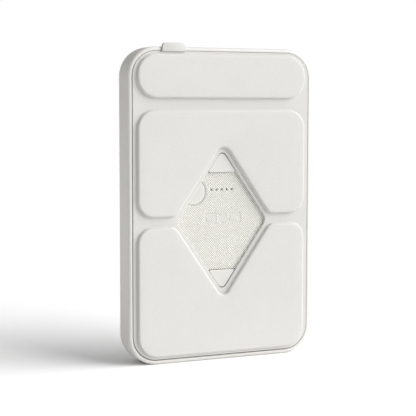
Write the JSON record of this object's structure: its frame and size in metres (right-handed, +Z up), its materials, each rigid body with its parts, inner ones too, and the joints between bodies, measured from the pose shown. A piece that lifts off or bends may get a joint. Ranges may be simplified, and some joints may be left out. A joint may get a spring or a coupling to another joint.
{
  "type": "power bank",
  "caption": "Slim magnetic power bank with a grained cover that folds out as a stand round a diamond window with a power button and charge lights.",
  "frame": {"origin": "middle of the bottom edge: centre of the bounding box's bottom face", "axes": "+X to the right across the cover side, +Y from the cover side to the phone side, +Z up along the long side"},
  "size_m": [0.067, 0.0128, 0.1063],
  "materials": {
    "shell_plastic": "satin off-white moulding",
    "cover_leather": "soft-touch grained polyurethane",
    "cover_lining": "fine microfibre",
    "fibreboard": "pressed board",
    "textured_plastic": "fine diagonal texture",
    "pad_plastic": "smooth satin",
    "clear_guide": "milky light guide",
    "phone_side_pad": "matt silicone",
    "pouch_foil": "matt foil",
    "black_foam": "open foam",
    "circuit_board": "solder mask",
    "chip_plastic": "moulded epoxy",
    "bright_steel": "plated",
    "magnet_nickel": "nickel plated",
    "copper_wire": "enamelled winding",
    "ferrite": "dull sheet",
    "graphite": "soft sheen",
    "ceramic": "fired",
    "lamp_lens": "clear resin",
    "red_insulation": "wire insulation",
    "black_insulation": "wire insulation"
  },
  "bodies": {
    "body": {"main_shell": "shell_plastic", "phone_side_cover": "shell_plastic", "phone_pad": "phone_side_pad", "textured_insert": "textured_plastic", "upper_stand_pad": "pad_plastic", "lower_stand_pad": "pad_plastic", "magnet_1": "magnet_nickel", "magnet_2": "magnet_nickel", "magnet_3": "magnet_nickel", "magnet_4": "magnet_nickel", "magnet_5": "magnet_nickel", "magnet_6": "magnet_nickel", "magnet_7": "magnet_nickel", "magnet_8": "magnet_nickel", "alignment_magnet": "magnet_nickel", "light_guide": "clear_guide", "light_1": "lamp_lens", "light_2": "lamp_lens", "light_3": "lamp_lens", "light_4": "lamp_lens", "light_5": "lamp_lens", "battery_cell": "pouch_foil", "battery_foam_pad": "black_foam", "heat_spreader": "graphite", "protection_board": "circuit_board", "main_board": "circuit_board", "positive_lead": "red_insulation", "negative_lead": "black_insulation", "left_board_screw": "bright_steel", "right_board_screw": "bright_steel", "usb_c_shell": "bright_steel", "switch_housing": "bright_steel", "steel_ring": "bright_steel", "closed_keeper": "bright_steel", "left_stand_keeper": "bright_steel", "right_stand_keeper": "bright_steel", "usb_c_tongue": "chip_plastic", "charger_chip": "chip_plastic", "wireless_chip": "chip_plastic", "ferrite_sheet": "ferrite", "inductor": "ferrite", "left_capacitor": "ceramic", "right_capacitor": "ceramic", "charging_coil": "copper_wire", "left_coil_lead": "copper_wire", "right_coil_lead": "copper_wire"},
    "lower_panel": {"lower_cover_skin": "cover_leather", "lower_cover_stiffener": "fibreboard", "lower_cover_lining": "cover_lining"},
    "middle_panel": {"middle_cover_skin": "cover_leather", "middle_cover_stiffener": "fibreboard", "middle_cover_lining": "cover_lining"},
    "top_panel": {"top_cover_skin": "cover_leather", "top_cover_stiffener": "fibreboard", "top_cover_lining": "cover_lining", "left_cover_magnet": "magnet_nickel", "right_cover_magnet": "magnet_nickel", "pull_tab": "cover_leather"},
    "button": {"power_button": "pad_plastic", "switch_plunger": "chip_plastic"}
  },
  "joints": [
    {"name": "stand_hinge", "type": "hinge", "parent": "body", "child": "lower_panel", "pos_m": [0, -0.0051, 0.00157], "axis": [1, 0, 0], "range_deg": [0, 57.7]},
    {"name": "lower_crease", "type": "hinge", "parent": "lower_panel", "child": "middle_panel", "pos_m": [0, -0.004, 0.0474], "axis": [1, 0, 0], "range_deg": [-123.6, 0]},
    {"name": "upper_crease", "type": "hinge", "parent": "middle_panel", "child": "top_panel", "pos_m": [0, -0.0051, 0.0863], "axis": [1, 0, 0], "range_deg": [0, 65.8]},
    {"name": "button_press", "type": "slide", "parent": "body", "child": "button", "axis": [0, 1, 0], "range_m": [0, 0.00035], "stiffness_N_per_m": 2000}
  ],
  "couplings": [
    {"joint": "lower_crease", "follows": "stand_hinge", "ratio": -2.14},
    {"joint": "upper_crease", "follows": "stand_hinge", "ratio": 1.14}
  ]
}
